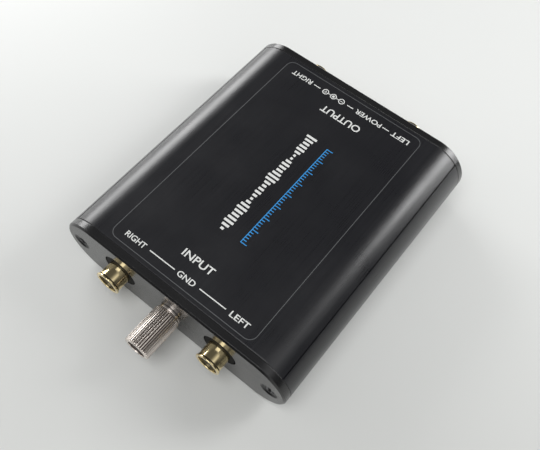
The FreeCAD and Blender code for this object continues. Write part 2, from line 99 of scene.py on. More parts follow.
def seat(points, x, z, side):
    """Carries points drawn along +Y from a plate's face to their place.

    The front ones are turned half round.
    """
    x_out = x + side * points[..., 0]
    y_out = side * (plate_face + points[..., 1])
    return np.stack([x_out, y_out, z + points[..., 2]], -1)


# %% [markdown]
# ## How a surface becomes a piece
# A surface is a grid of points: rings that follow each other, each ring closed on itself. The
# faces are the same for any such grid, so one function writes them as whole arrays. Rings of
# radius zero close a pole once doubled points are merged. Most parts here lie along Y, so their
# rings are drawn flat, in x and z, and then set at places along Y.

# %% Rings and grids
def at_places(outline, places):
    """Rings of one outline, given in x and z, at several places along Y."""
    x, z = outline.T
    return np.array([np.stack([x, np.full(len(x), y), z], -1) for y in places])


def angles(count):
    """Angles once round, without the last."""
    return np.arange(count) * 2 * math.pi / count


def swept(radius, place, angle):
    """Points at a radius from Y and a place along it, at each angle round it."""
    x = radius * np.cos(angle)
    return np.stack([x, np.broadcast_to(place, x.shape), radius * np.sin(angle)], -1)


def circle(x, z, radius, count=48):
    """Closed round outline in x and z."""
    angle = angles(count)
    return np.stack([x + radius * np.cos(angle), z + radius * np.sin(angle)], -1)


def tube(steps, x=0, z=0, count=96):
    """Rings of a tube along Y: each pair of a radius and a place is one ring."""
    return np.vstack([at_places(circle(x, z, radius, count), [y]) for radius, y in steps])


def grid_faces(rows, around):
    """Quads between neighbouring rings.

    Point i of a ring joins point i + 1 and the same two points of the next ring.
    """
    row, column = np.meshgrid(np.arange(rows - 1), np.arange(around), indexing="ij")
    beside = (column + 1) % around
    corners = [row * around + column, row * around + beside,
               (row + 1) * around + beside, (row + 1) * around + column]
    return np.stack(corners, -1).reshape(-1, 4).tolist()


def closed_grid(rings):
    """Shell of a grid whose first and last rings are poles or the same ring."""
    rings = np.asarray(rings, float)
    return rings.reshape(-1, 3), grid_faces(*rings.shape[:2])


def joined(shells):
    """Several shells as one list of points and one list of faces."""
    points, faces, first = [], [], 0
    for shell_points, shell_faces in shells:
        points.append(shell_points)
        faces += [[first + corner for corner in face] for face in shell_faces]
        first += len(shell_points)
    return np.vstack(points), faces


print("faces between two rings of 3:", grid_faces(2, 3))

# %% [markdown]
# A flat wall with holes is no grid. A triangulation that keeps its outlines as edges fills it, and
# the triangles whose middle lies in a hole are left out.

# %% Walls with holes
SAME_POINT = 1e-7


def within(points, loop):
    """Whether each point lies in a loop: a ray towards +x crosses the loop an odd number of times."""
    x, z = points[:, :1], points[:, 1:]
    x0, z0 = loop.T
    x1, z1 = np.roll(loop, -1, axis=0).T
    rise = np.where(z1 == z0, 1, z1 - z0)
    crossed = ((z0 > z) != (z1 > z)) & (x < x0 + (z - z0) / rise * (x1 - x0))
    return crossed.sum(1) % 2 == 1


def wall(loops, place):
    """Triangles that fill the first loop but not the others, at one place along Y."""
    flat = np.vstack([loop[:, [0, 2]] for loop in loops])
    edges = []
    first = 0
    for loop in loops:
        run = np.arange(len(loop))
        edges += np.stack([first + run, first + (run + 1) % len(loop)], -1).tolist()
        first += len(loop)
    found, _, faces, _, _, _ = delaunay_2d_cdt([Vector(p) for p in flat], edges, [], 0, SAME_POINT)
    found, faces = np.array(found), np.array(faces)
    middles = found[faces].mean(1)
    kept = within(middles, loops[0][:, [0, 2]])
    for loop in loops[1:]:
        kept &= ~within(middles, loop[:, [0, 2]])
    return np.stack([found[:, 0], np.full(len(found), place), found[:, 1]], -1), faces[kept].tolist()


def pierced(outer, holes):
    """Closed block along Y: an outer tube, the tubes of its holes and a flat wall at each end."""
    tubes = [outer] + holes
    shells = [closed_grid(rings) for rings in tubes]
    shells += [wall([rings[end] for rings in tubes], outer[end, 0, 1]) for end in (0, -1)]
    return joined(shells)

# %% [markdown]
# Merging doubled points closes the poles and seams of a piece. The shading is smooth but for
# creases, and large flat faces keep their own direction.

# %% Pieces
MERGED = 2e-7
DEGENERATE = 1e-8


def in_scene(name, data):
    """New object in the scene."""
    made = bpy.data.objects.new(name, data)
    bpy.context.scene.collection.objects.link(made)
    return made


def cleaned(mesh, merge, degenerate=0):
    """Merges the doubled points of a mesh, turns its faces outward and counts its open edges."""
    work = bmesh.new()
    work.from_mesh(mesh)
    bmesh.ops.remove_doubles(work, verts=work.verts, dist=merge)
    if degenerate:
        bmesh.ops.dissolve_degenerate(work, dist=degenerate, edges=work.edges)
    bmesh.ops.recalc_face_normals(work, faces=work.faces)
    open_edges = sum(not edge.is_manifold for edge in work.edges)
    work.to_mesh(mesh)
    work.free()
    return open_edges


def piece(name, shells, finish, body="case", stands_for=(), crease=30.0):
    """Piece of closed shells in millimetres, smooth but for creases over an angle in degrees."""
    points, faces = joined(shells)
    mesh = bpy.data.meshes.new(name)
    mesh.from_pydata((points * MM).tolist(), [], faces)
    open_edges = cleaned(mesh, MERGED, DEGENERATE)
    mesh.shade_smooth()
    mesh.set_sharp_from_angle(angle=math.radians(crease))
    mesh.materials.append(finish)
    made = in_scene(name, mesh)
    made.modifiers.new("flat faces stay flat", "WEIGHTED_NORMAL").keep_sharp = True
    if stands_for:
        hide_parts(*stands_for)
    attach(made, body)
    print(name, "faces", len(mesh.polygons), "open edges", open_edges)
    return made


# %% [markdown]
# ## Turned parts
# Barrels, pins, washers and nuts come off a lathe, so each is a profile swept round an axis. A
# lathe hand never leaves a corner sharp, so the profile's corners are rounded by small arcs
# before it is swept. The same rounding serves the moulded blocks.

# %% Rounded outlines and turned shells
def rounded(corners, radius, steps=4, closed=True):
    """Outline whose corners become arcs.

    Each arc touches both sides of its corner, a tangent length away from it: the radius over the
    tangent of half the corner's angle.
    """
    corners = np.asarray(corners, float)
    radii = np.broadcast_to(radius, len(corners))
    share = np.linspace(0, 1, steps + 1)[:, None]
    outline = []
    for index, corner in enumerate(corners):
        at_end = not closed and index in (0, len(corners) - 1)
        if radii[index] == 0 or at_end:
            outline.append(corner[None])
            continue
        before = corners[index - 1] - corner
        after = corners[(index + 1) % len(corners)] - corner
        before /= np.linalg.norm(before)
        after /= np.linalg.norm(after)
        half = math.acos(np.clip(before @ after, -1, 1)) / 2
        middle = before + after
        centre = corner + middle / np.linalg.norm(middle) * radii[index] / math.sin(half)
        start = corner + before * radii[index] / math.tan(half) - centre
        end = corner + after * radii[index] / math.tan(half) - centre
        turn = math.pi - 2 * half
        arc = (np.sin((1 - share) * turn) * start + np.sin(share * turn) * end) / math.sin(turn)
        outline.append(centre + arc)
    return np.vstack(outline)


def turned(profile, around=96):
    """Surface of revolution about Y: each (radius, place) of the profile goes once round the axis."""
    profile = np.asarray(profile, float)
    return swept(profile[:, :1], profile[:, 1:], angles(around))


def looped(profile):
    """Profile closed on itself, for a turned part with a hole through it."""
    return np.vstack([profile, profile[:1]])


def rectangle(x0, x1, z0, z1, radius=0.0, steps=3):
    """Outline of a rectangle, with rounded corners where it has a radius."""
    corners = np.array([(x0, z0), (x1, z0), (x1, z1), (x0, z1)], float)
    return rounded(corners, radius, steps) if np.any(radius) else corners


def block(low, high, radius=0.0):
    """Box along Y whose four long edges are rounded, as a closed shell."""
    outline = rectangle(low[0], high[0], low[2], high[2], radius)
    return pierced(at_places(outline, (low[1], high[1])), [])


def seated(shell, x, z, side):
    """A closed shell carried to its place in an end plate."""
    return seat(shell[0], x, z, side), shell[1]

# %% [markdown]
# ## Finishes
# Every surface is a small recipe of noise at the scale of the real finish: bead-blasted
# anodising, drawn streaks, turning lines, moulded grain. Such recipes read best as ordinary
# expressions, so a small class wraps a socket, and each operator adds the Math node for it.

# %% Shader arithmetic
def operator(operation, turned_round=False):
    """Operator that adds one Math node."""
    def act(self, other):
        inputs = (other, self) if turned_round else (self, other)
        return self.nodes.add("Math", {"operation": operation}, dict(enumerate(inputs)))
    return act


class Value:
    """A socket whose sums and products add Math nodes."""
    __add__ = __radd__ = operator("ADD")
    __mul__ = __rmul__ = operator("MULTIPLY")
    __sub__, __rsub__ = operator("SUBTRACT"), operator("SUBTRACT", True)
    __pow__ = operator("POWER")

    def __init__(self, nodes, socket):
        self.nodes = nodes
        self.socket = socket

    def step(self, low, high):
        """0 below low, 1 above high, smooth between."""
        settings = {"interpolation_type": "SMOOTHSTEP"}
        return self.nodes.add("MapRange", settings, {"Value": self, "From Min": low, "From Max": high})


class Nodes:
    """A node tree that is written as expressions."""

    def __init__(self, tree):
        self.tree = tree

    def feed(self, socket, value):
        if isinstance(value, Value):
            self.tree.links.new(value.socket, socket)
        else:
            socket.default_value = value

    def add(self, kind, settings, sockets, output=0):
        """Any node: its settings come first, then the values or links of its sockets."""
        node = self.tree.nodes.new("ShaderNode" + kind)
        for setting, value in settings.items():
            setattr(node, setting, value)
        for socket, value in sockets.items():
            self.feed(node.inputs[socket], value)
        return Value(self, node.outputs[output])

    def blend(self, share, low, high):
        """Colour that goes from low to high with a share."""
        sockets = {"Factor": share, 6: (*low, 1), 7: (*high, 1)}
        return self.add("Mix", {"data_type": "RGBA"}, sockets, 2)


# %% [markdown]
# A finish is one shader, and only what varies over the piece is linked to it. Places are the
# piece's own, so a finish moves with its piece.

# %% A finish
class Finish(Nodes):
    """A material on one shader. Constants go on its own sockets, and what varies is linked to them."""

    def __init__(self, name, color, roughness, metallic=0.0, **constants):
        self.material = bpy.data.materials.new(name)
        self.material.use_nodes = True
        self.material.diffuse_color = (*color, 1)
        super().__init__(self.material.node_tree)
        self.shader = self.tree.nodes["Principled BSDF"]
        self.set("Base Color", (*color, 1))
        self.set("Roughness", roughness)
        self.set("Metallic", metallic)
        for socket, value in constants.items():
            self.set(socket.replace("_", " "), value)
        self.place = self.add("TexCoord", {}, {}, "Object")

    def set(self, socket, value):
        self.feed(self.shader.inputs[socket], value)

    def noise(self, size, detail=2.0, stretch=(1, 1, 1), roughness=0.5):
        """Noise whose features measure about the given size in millimetres, drawn out by a stretch."""
        scale = [1 / (size * MM * s) for s in stretch]
        where = self.add("Mapping", {}, {"Vector": self.place, "Scale": scale})
        sockets = {"Vector": where, "Scale": 1.0, "Detail": detail, "Roughness": roughness}
        return self.add("TexNoise", {}, sockets)

    def bump(self, height, depth):
        """Normal of a height from 0 to 1 that stands for a depth in millimetres."""
        sockets = {"Height": height, "Distance": depth * MM, "Strength": 1.0}
        self.set("Normal", self.add("Bump", {}, sockets))

    def part(self, axis):
        """One coordinate of the place on the piece, in metres."""
        return self.add("SeparateXYZ", {}, {"Vector": self.place}, axis)


def shade(color, factor):
    """A colour made lighter or darker by a factor."""
    return tuple(c * factor for c in color)


# %% [markdown]
# ### Black anodising
# The tube is drawn through a die and then blasted, dyed black and sealed. What is left is a fine
# pebbled satin, faint streaks along the drawing direction, and a slight unevenness of the sheen
# where hands have touched it. The plates are cut from sheet, so they are smoother, with a fine
# grain across them. Both are dielectric: the oxide hides the metal.

# %% Anodised finishes
def anodised(name, color, roughness, pebble, grain):
    """Black oxide: sheen and tone vary by pebbles, streaks along a grain, hand marks and pale specks."""
    finish = Finish(name, color, roughness, Specular_IOR_Level=0.75)
    fine = finish.noise(pebble, detail=3.0, roughness=0.6)
    streak = finish.noise(0.5, detail=3.0, stretch=grain)
    hands = finish.noise(17.0, detail=3.0)
    speck = finish.noise(0.35, detail=0.0).step(0.74, 0.8)
    finish.set("Roughness", roughness + (fine - 0.5) * 0.10 + (streak - 0.5) * 0.08 + (hands - 0.5) * 0.16)
    tone = (fine - 0.5) * 0.5 + (streak - 0.5) * 0.5 + speck * 0.5 + 0.4
    finish.set("Base Color", finish.blend(tone, shade(color, 0.75), shade(color, 1.6)))
    finish.bump(fine * 0.7 + streak * 0.3, 0.012)
    return finish.material


case_black = anodised("anodised_case", (0.0065, 0.0066, 0.0086), 0.31, pebble=0.10, grain=(1, 60, 1))
plate_black = anodised("anodised_plate", (0.008, 0.008, 0.0085), 0.24, pebble=0.08, grain=(40, 1, 1))
print("anodised", case_black.name, plate_black.name)

# %% [markdown]
# ### Gold, nickel and steel
# Plated metal is bright and takes its colour from the metal alone. A lathe leaves fine rings
# round the axis, which a noise drawn out across the axis imitates. Handling dulls it in soft
# patches. The valleys of the knurling are painted dark as shade, found by the distance
# from the nut's own axis.

# %% Metal finishes
nickel_color = (0.71, 0.65, 0.60)
nickel_roughness = 0.24


def turned_metal(name, color, roughness, line_depth=0.002, patch=0.06):
    """Plated metal: fine rings round Y, as noise drawn out along X and Z, and duller patches."""
    finish = Finish(name, color, roughness, metallic=1.0)
    lines = finish.noise(0.12, detail=2.0, stretch=(40, 1, 40))
    patches = finish.noise(2.2, detail=3.0)
    finish.set("Roughness", roughness + (patches - 0.5) * patch + (lines - 0.5) * 0.05)
    finish.set("Base Color", finish.blend(patches, shade(color, 0.92), color))
    finish.bump(lines, line_depth)
    return finish


gold = turned_metal("gold_plate", (0.88, 0.73, 0.42), 0.12).material
steel = turned_metal("zinc_steel", (0.52, 0.52, 0.51), 0.32, 0.003).material
tinned = turned_metal("tinned_brass", (0.66, 0.65, 0.62), 0.34, 0.003, 0.14).material
black_steel = turned_metal("black_screw", (0.06, 0.06, 0.062), 0.35, 0.002).material
nickel = turned_metal("nickel_plate", nickel_color, nickel_roughness).material


def knurled_nickel(root, top, first, last, edge=0.05):
    """Nickel with painted shade in the knurl's valleys: its lit share rises from 0 to 1 between two
    distances from the axis.

    Before the first and after the last place of the ridges the share is 1.
    """
    finish = turned_metal("knurled_nickel", nickel_color, nickel_roughness, 0.0003)
    across = finish.part("X")
    above = finish.part("Z") - mid_height * MM
    reach = (across * across + above * above) ** 0.5
    along = -1 * finish.part("Y")
    begun, ended = (along.step((place - edge) * MM, place * MM) for place in (first, last))
    ridged = begun * (1 - ended)
    crest = 1 - ridged * (1 - reach.step(root * MM, top * MM))
    grime = finish.noise(0.5, detail=2.0)
    # painted shade: the valleys of the ridges are near black, the crests plain nickel
    finish.set("Base Color", finish.blend(crest, (0.07, 0.05, 0.042), (0.83, 0.76, 0.70)))
    finish.set("Roughness", 0.55 - crest * 0.33 + (grime - 0.5) * 0.06)
    return finish.material


nut_nickel = knurled_nickel(root=4.36, top=4.60, first=52.45, last=66.2)
print("metals", gold.name, steel.name, tinned.name, black_steel.name, nickel.name, nut_nickel.name)

# %% [markdown]
# ### Plastic and the parts inside
# Moulded black plastic has a matt spark-eroded grain. The parts inside the case are plain, but
# each has the look of its kind: green lacquer over glass cloth, drawn aluminium cans, epoxy.
# Those parts stay solids and only get a finish.

# %% Plastic finishes
def moulded(name, color, roughness, grain=0.07, depth=0.006, specular=0.5):
    """Plastic or lacquer: an even grain, and slow changes of tone where the material flowed."""
    finish = Finish(name, color, roughness, Specular_IOR_Level=specular)
    fine = finish.noise(grain, detail=2.0)
    flow = finish.noise(4.0, detail=2.0)
    finish.set("Base Color", finish.blend(fine * 0.5 + flow * 0.5, shade(color, 0.8), shade(color, 1.25)))
    finish.set("Roughness", roughness + (fine - 0.5) * 0.12 + (flow - 0.5) * 0.08)
    finish.bump(fine, depth)
    return finish.material


jack_black = moulded("moulded_black", (0.006, 0.006, 0.0063), 0.72, specular=0.18)
insulator_black = moulded("insulator_black", (0.012, 0.012, 0.013), 0.45, 0.05, 0.003, 0.3)
board_green = moulded("board_lacquer", (0.012, 0.11, 0.045), 0.24, 0.5, 0.012)
chip_black = moulded("chip_epoxy", (0.016, 0.016, 0.017), 0.5, 0.06, 0.004)
film_grey = moulded("film_case", (0.42, 0.44, 0.42), 0.3)
resistor_black = moulded("resistor_glaze", (0.03, 0.03, 0.032), 0.28)
can_aluminium = turned_metal("can_aluminium", (0.72, 0.73, 0.75), 0.3, 0.002).material
chips = ("right_amplifier_chip", "left_amplifier_chip", "voltage_inverter_chip", "voltage_regulator",
         "supply_diode", "capacitor_bases")
inside_finishes = {"circuit_board": board_green, "power_jack_spring": tinned, "ground_lug": tinned,
                   "ground_star_washer": steel, "capacitor_cans": can_aluminium,
                   "film_capacitors": film_grey, "chip_resistors": resistor_black,
                   **dict.fromkeys(chips, chip_black)}
for node, finish in inside_finishes.items():
    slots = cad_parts[node].data.materials
    slots.clear()
    slots.append(finish)
print("finished inside", len(inside_finishes))

# %% [markdown]
# ## The extruded case
# The tube's section is two half circles joined by flats, with a fine groove along each shoulder.
# It is easiest as a radius that depends on the angle round each side's centre, dipping where the
# groove is. The surface lies a little inside the solid, which leaves room for the printing.

# %% Outside of the case
PRINT_ROOM = 0.02
groove_angle = 45.0
groove_width = 0.5
groove_depth = 0.35
groove_lip = 0.15


def side_angles(grooved):
    """Angles round a side in degrees, closer together across a groove."""
    angles = np.linspace(-90, 90, 91)
    if grooved:
        across = np.array([0, 0.35, 0.7, 0.85, 1, 1 + groove_lip, 1.35, 1.8])
        near = np.degrees(groove_width / 2 / side_radius) * across
        angles = np.concatenate([angles[abs(angles - groove_angle) > near[-1] + 0.5],
                                 groove_angle - near, groove_angle + near])
    return np.unique(angles)


def case_outline(inset, place, grooved):
    """Half circles about each side's centre; the radius dips at the groove with a smooth lip."""
    angle = side_angles(grooved)
    away = abs(angle - groove_angle) * math.pi / 180 * side_radius
    dip = np.clip((groove_width / 2 * (1 + groove_lip) - away) / (groove_width * groove_lip), 0, 1)
    dip = dip * dip * (3 - 2 * dip) * groove_depth * (1 if grooved else 0)
    radius = side_radius - PRINT_ROOM - inset - dip
    turn = np.radians(angle)
    x = side_centre + radius * np.cos(turn)
    z = mid_height + radius * np.sin(turn)
    outline = np.concatenate([np.stack([x, z], -1), np.stack([-x, z], -1)[::-1]])
    return at_places(outline, [place])[0]


def broken_edge(amount, steps=4):
    """Quarter round of an edge: pairs of how far the side is drawn in and how far back from the end."""
    turn = np.linspace(0, math.pi / 2, steps + 1)
    return np.stack([amount * (1 - np.sin(turn)), amount * (1 - np.cos(turn))], -1)


print("points round the case", len(case_outline(0, 0, True)))

# %% [markdown]
# Inside, each side has a port for the plate's screw, held by a web, and a pair of ribs that hold
# the board. The outline goes up the right side, and the other half is its mirror.

# %% Inside of the case
case_wall = 1.8
rib_overlap = 1.8
rib_thickness = 1.0
board_gap = 0.1
port_radius = 3.15
port_web = 1.2


def cavity_outline():
    """Right half of the cavity from the bottom up, round the ribs and the screw port, and its mirror."""
    radius = side_radius - case_wall
    rib = measured("circuit_board")[1][0] - rib_overlap

    def along_wall(low, high):
        turn = np.arcsin((np.array([low, high]) - mid_height) / radius)
        angle = np.linspace(turn[0], turn[1], 12)
        return np.stack([side_centre + radius * np.cos(angle), mid_height + radius * np.sin(angle)], -1)

    below = board_bottom - board_gap
    above = board_top + board_gap
    spread = math.asin(port_web / port_radius)
    angle = np.linspace(-spread, -2 * math.pi + spread, 40)
    port_arc = np.stack([screw_places[1] + port_radius * np.cos(angle),
                         mid_height + port_radius * np.sin(angle)], -1)
    half = np.vstack([
        along_wall(mid_height - radius, below - rib_thickness),
        [(rib, below - rib_thickness), (rib, below)],
        along_wall(below, above),
        [(rib, above), (rib, above + rib_thickness)],
        along_wall(above + rib_thickness, mid_height - port_web),
        port_arc,
        along_wall(mid_height + port_web, mid_height + radius),
    ])
    mirrored = half[::-1] * [-1, 1]
    return np.vstack([half, mirrored])


print("points round the cavity", len(cavity_outline()))

# %% [markdown]
# The tube's sawn ends are broken by a file, so the outer edge gets a small quarter round.

# %% Make the case
edge_break = 0.3
port_bore = 1.55
breaks = broken_edge(edge_break)
stations = [(inset, -half_length + back) for inset, back in breaks]
stations += [(inset, half_length - back) for inset, back in breaks[::-1]]
outside = np.array([case_outline(inset, y, True) for inset, y in stations])
ends = (-half_length, half_length)
inside = [at_places(cavity_outline(), ends)]
inside += [at_places(circle(x, mid_height, port_bore), ends) for x in screw_places]
piece("extruded_case", [pierced(outside, inside)], case_black,
      stands_for=["case_shell"])

# %% [markdown]
# ## The end plates
# Each plate has the case's outline, a bevel round its outer face and a hole for everything that
# comes through. It is the same kind of block as the case, only short: an outer tube of rings,
# round tubes for the holes, and a flat wall between them. The rims get a small round, because
# that is where a black plate catches the light.

# %% Make the end plates
plate_bevel = 0.6
bevel_round = 0.16
plate_edge_break = 0.2
hole_round = 0.12
nose_hole = 6.25
ground_hole = 2.05
power_hole = 4.1
screw_hole = 1.7
sink_radius = 3.25
beyond = 0.4


def bevelled_stations(side):
    """Insets and places of the rim: a small break at the case, then the side, then the bevel."""
    corners = [(0, half_length), (0, plate_face - plate_bevel), (plate_bevel, plate_face),
               (plate_bevel + beyond, plate_face)]
    bevel = rounded(corners, [0, bevel_round, bevel_round, 0], steps=3, closed=False)
    start = [(inset, half_length + back) for inset, back in broken_edge(plate_edge_break)]
    return [(inset, side * y) for inset, y in start + [tuple(p) for p in bevel[1:-1]]]


def round_hole(x, z, radius, side):
    """Tube of a plain hole whose outer rim is rounded."""
    rim = [(radius + inset, side * (plate_face - back)) for inset, back in broken_edge(hole_round)[::-1]]
    return tube([(radius, side * half_length)] + rim, x, z)


def sunk_hole(x, side):
    """Clearance hole of a screw with its 90 degree countersink, and a small break at its rim."""
    steps = [(screw_hole, half_length), (screw_hole, plate_face - (sink_radius - screw_hole)),
             (sink_radius - 0.05, plate_face - 0.05), (sink_radius + 0.03, plate_face)]
    return tube([(radius, side * y) for radius, y in steps], x, mid_height, 64)


def end_plate(name, side, centre_hole, centre_height):
    """Plate with a hole for each jack, one between them and the two countersunk holes."""
    outer = np.array([case_outline(inset, y, False) for inset, y in bevelled_stations(side)])
    holes = [round_hole(x, jack_height, nose_hole, side) for x in jack_places.values()]
    holes.append(round_hole(0, centre_height, centre_hole, side))
    holes += [sunk_hole(x, side) for x in screw_places]
    piece(name + "_bevelled", [pierced(outer, holes)], plate_black,
          stands_for=[name])


end_plate("front_plate", FRONT, ground_hole, mid_height)
end_plate("rear_plate", REAR, power_hole, power_height)

# %% [markdown]
# ## The plates' screws
# A countersunk screw with a cross recess. The head is a disc whose height drops where either arm
# of the cross is, which is a function of the place on the disc, so a polar grid carries it. The
# cone and the shank below are plain rings of the same grid.

# %% Make the screws
screw_top = -0.4
screw_length = 10.0
shank_radius = 1.5
shank_chamfer = 0.6
head_break = 0.06
recess_depth = 1.3
arm_half_width, arm_flank = 0.52, 0.18
arm_reach, arm_rise = 1.75, 1.1


def cross_depth(x, z):
    """Depth of a cross recess.

    Each arm has sloping walls and rises to its end. Where the arms meet, the deeper one counts.
    """
    def arm(along, across):
        side = np.clip((arm_half_width - abs(across)) / arm_flank, 0, 1)
        end = np.clip((arm_reach - abs(along)) / arm_rise, 0, 1)
        return side * end
    return recess_depth * np.maximum(arm(x, z), arm(z, x))


def plate_screw():
    """Screw along Y: a polar grid for the face with its cross, then rings for the cone and the shank."""
    radius = np.concatenate([np.linspace(0, 2.0, 24), [2.3, 2.6]])[:, None]
    face = swept(radius, screw_top, angles(96))
    face[..., 1] -= cross_depth(face[..., 0], face[..., 2])
    tip = screw_top - screw_length
    rim = turned([(head_radius - head_break, screw_top), (head_radius, screw_top - head_break)])
    below = turned([(shank_radius, screw_top - (head_radius - shank_radius)),
                    (shank_radius, tip + shank_chamfer), (shank_radius - shank_chamfer, tip), (0, tip)])
    return closed_grid(np.concatenate([face, rim, below]))


for node, side in (("front_plate_screws", FRONT), ("rear_plate_screws", REAR)):
    pair = [seated(plate_screw(), x, mid_height, side) for x in screw_places]
    piece("cross_head_" + node, pair, black_steel, stands_for=[node])

# %% [markdown]
# ## The phono jacks
# A phono jack is a gold barrel that the plug's sleeve closes round, a black moulded body behind
# the plate whose round nose fills the plate's hole, an insulator in the barrel and a contact tube
# for the plug's pin. All but the moulded block are turned. The barrel flares to a lip, so that
# the sleeve springs over it and holds.

# %% Profiles of the jack
barrel_radius = 4.15
barrel_bore = 3.5
lip_thickness = 0.55
flare_length = 0.6
body_back = -13.0
tail_thickness = 0.8
tail_width = 2.0
tail_below_board = 1.2
axis_above_board = 7.0
insulator_front = barrel_reach - 0.9
contact_front = insulator_front - 1.25
insulator_back = body_back - 1.8


def flare():
    """Arc that leaves the barrel along its side and ends at the back of the lip."""
    rise = lip_radius - barrel_radius
    radius = (rise ** 2 + flare_length ** 2) / (2 * rise)
    turn = np.linspace(0, math.asin(flare_length / radius), 8)
    start = barrel_reach - lip_thickness - flare_length
    return np.stack([barrel_radius + radius * (1 - np.cos(turn)), start + radius * np.sin(turn)], -1)


def tail(place, top):
    """Solder tail: a strip from a height down through the board."""
    low = -axis_above_board - (board_top - board_bottom) - tail_below_board
    return block((-tail_width / 2, place - tail_thickness, low), (tail_width / 2, place, top), 0.15)


def jack_barrel():
    """Turned barrel, flared to a rounded lip, with its bore and its tail."""
    back = body_back - tail_thickness
    lip = rounded([(lip_radius, barrel_reach - lip_thickness), (lip_radius, barrel_reach),
                   (barrel_bore, barrel_reach), (barrel_bore, 0)], [0, 0.22, 0.28, 0], 6, closed=False)
    profile = np.vstack([[(barrel_bore, back), (barrel_radius, back), (barrel_radius, 0)], flare(), lip])
    middle = (barrel_bore + barrel_radius) / 2
    return [closed_grid(turned(looped(profile))), tail(body_back, -middle)]


def jack_insulator():
    """Tube that fills the barrel and narrows at its front to a throat."""
    tube, throat, radius = 2.15, 1.95, barrel_bore - 0.05
    profile = rounded([(tube, insulator_back), (radius, insulator_back), (radius, insulator_front),
                       (throat + 0.2, insulator_front), (throat, insulator_front - 0.25),
                       (throat, contact_front + 0.05), (tube, contact_front + 0.05)],
                      [0, 0.1, 0.15, 0.08, 0.08, 0, 0])
    return [closed_grid(turned(looped(profile), 72))]


def jack_contact():
    """Contact tube with a rounded rim, a closed back and a tail."""
    inner, outer = 1.6, 2.1
    back = insulator_back - 0.05
    profile = rounded([(0, back - tail_thickness), (outer, back - tail_thickness), (outer, contact_front),
                       (inner, contact_front), (inner, contact_front - 9.0), (0, contact_front - 9.0)],
                      [0, 0, 0.15, 0.2, 0, 0], closed=False)
    return [closed_grid(turned(profile, 64)), tail(back, 0)]


print("the flare starts at", flare()[0], "and ends at", flare()[-1])

# %% [markdown]
# The body is one moulding: a block, a round nose that reaches almost to the plate's face, and two
# pegs that place it on the board. The nose is rooted a little way in the block.

# %% Body of the jack
body_half, body_below = 6.5, 7.0
body_rounds = [0.3, 0.3, 0.8, 0.8]
bore_room = 0.05
nose_radius = 6.0
nose_inset = 0.1
nose_root = 0.5
nose_round = 0.15
peg_radius, peg_place, peg_below = 0.75, 4.0, 1.6


def nose(radius, inset):
    """Rings of a round nose whose front rim is rounded, a little behind the plate's face."""
    rim = [(radius - drawn, -inset - back) for drawn, back in broken_edge(nose_round)[::-1]]
    return tube([(radius, plate_back - nose_root)] + rim)


def peg(x):
    """Peg at one side, turned about an upright axis, with a rounded foot."""
    foot = -axis_above_board - peg_below
    profile = rounded([(0, foot), (peg_radius, foot), (peg_radius, -body_half), (0, -body_half)],
                      [0, 0.15, 0, 0], closed=False)
    rings = turned(profile, 32)
    middle = (body_back + plate_back) / 2
    return closed_grid(np.stack([x + rings[..., 0], middle + rings[..., 2], rings[..., 1]], -1))


def jack_body():
    """Block, nose and pegs, with one bore through the block and the nose."""
    square = rectangle(-body_half, body_half, -body_below, body_half, body_rounds)
    bore = barrel_radius + bore_room
    block_bore = tube([(bore, body_back), (bore, plate_back)])
    nose_bore = tube([(bore, plate_back - nose_root), (bore, -nose_inset)])
    return [pierced(at_places(square, [body_back, plate_back]), [block_bore]),
            pierced(nose(nose_radius, nose_inset), [nose_bore]), peg(-peg_place), peg(peg_place)]


print("shells of the body", len(jack_body()))

# %% [markdown]
# The four jacks are one drawing, seated twice in each plate. Each part is a piece of its own.

# %% Make the four jacks
makers = {"barrel": (jack_barrel, gold, "gold"),
          "insulator": (jack_insulator, insulator_black, "insulator_black"),
          "contact": (jack_contact, gold, "gold"), "body": (jack_body, jack_black, "jack_black")}
for end, side in (("input", FRONT), ("output", REAR)):
    for channel, x in jack_places.items():
        for part, (maker, finish, slot) in makers.items():
            node = f"{end}_{channel}_jack_{part}"
            shells = [seated(shell, x, jack_height, side) for shell in maker()]
            way = "moulded_" if part == "body" else "turned_"
            piece(way + node, shells, finish, stands_for=[node])

# %% [markdown]
# ## The power jack
# The rear plate's middle hole holds the nose of a moulded power jack, with a steel pin in a deep
# bore. The block is made in two lengths, with the pin's hole and with the wide bore, a hair apart
# so that each is a closed shell. The spring stays the solid that it is.

# %% Make the power jack
power_half = 4.5
power_rounds = [0.2, 0.2, 0.5, 0.5]
power_back = power_low[1] - plate_face
power_bore = 3.15
power_mouth = 3.3
bore_floor = -9.6
hair = 0.02
power_nose = 3.9
power_inset = 0.2
pin_hole = 1.05
strap_half = 1.2


def power_jack_body():
    """Two lengths of block and a nose; the bore widens in a small funnel at the mouth."""
    below, above = power_low[2] - power_height, power_high[2] - power_height
    square = rectangle(-power_half, power_half, below, above, power_rounds)
    mouth = [(power_bore, plate_back - nose_root), (power_bore, -power_inset - nose_round),
             (power_mouth, -power_inset)]
    return [pierced(at_places(square, [power_back, bore_floor]),
                    [tube([(pin_hole, power_back), (pin_hole, bore_floor)], count=32)]),
            pierced(at_places(square, [bore_floor + hair, plate_back]),
                    [tube([(power_bore, bore_floor + hair), (power_bore, plate_back)])]),
            pierced(nose(power_nose, power_inset), [tube(mouth)])]


def power_jack_pin():
    """Round-nosed pin and the flat strap that carries it down to the board."""
    front = power_back - 0.05
    back = front - tail_thickness
    pin = rounded([(0, back), (power_pin_radius, back), (power_pin_radius, -1.0), (0, -1.0)],
                  [0, 0, 0.75, 0], steps=6, closed=False)
    low = measured("power_jack_pin")[0][2] - power_height
    strap = block((-strap_half, back, low), (strap_half, front, 1.0), 0.1)
    return [closed_grid(turned(pin, 48)), strap]


for node, maker, finish, slot in (("power_jack_body", power_jack_body, jack_black, "jack_black"),
                                  ("power_jack_pin", power_jack_pin, nickel, "nickel")):
    shells = [seated(shell, 0, power_height, REAR) for shell in maker()]
    piece("shaped_" + node, shells, finish, stands_for=[node])

